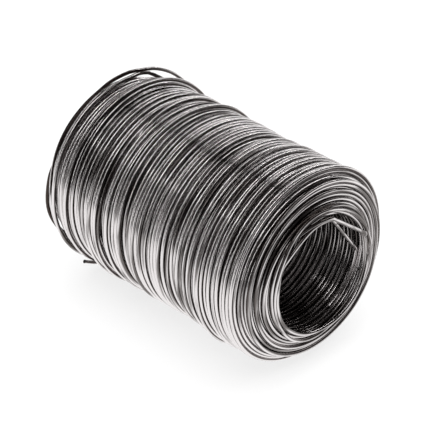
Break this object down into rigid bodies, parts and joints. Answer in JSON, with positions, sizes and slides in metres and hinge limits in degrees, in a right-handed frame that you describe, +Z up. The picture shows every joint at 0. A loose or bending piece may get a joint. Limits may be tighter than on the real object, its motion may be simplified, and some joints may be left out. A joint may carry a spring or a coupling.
{
  "type": "coil of wire",
  "caption": "Round coil of bare dark steel tie wire, wound in layers around an open bore, with loose turns at one end.",
  "frame": {"origin": "on the floor, under the coil's axis, midway between its two ends", "axes": "+X along the coil's axis towards the mouth that the inner end of the wire crosses; +Z up; the coil lies on its side on Z = 0"},
  "size_m": [0.1041, 0.0734, 0.0734],
  "materials": {
    "wire": "bare annealed wire, dark grey oxide with drawn streaks, semi-gloss"
  },
  "bodies": {
    "root": {"wire_coil": "wire"}
  },
  "joints": []
}
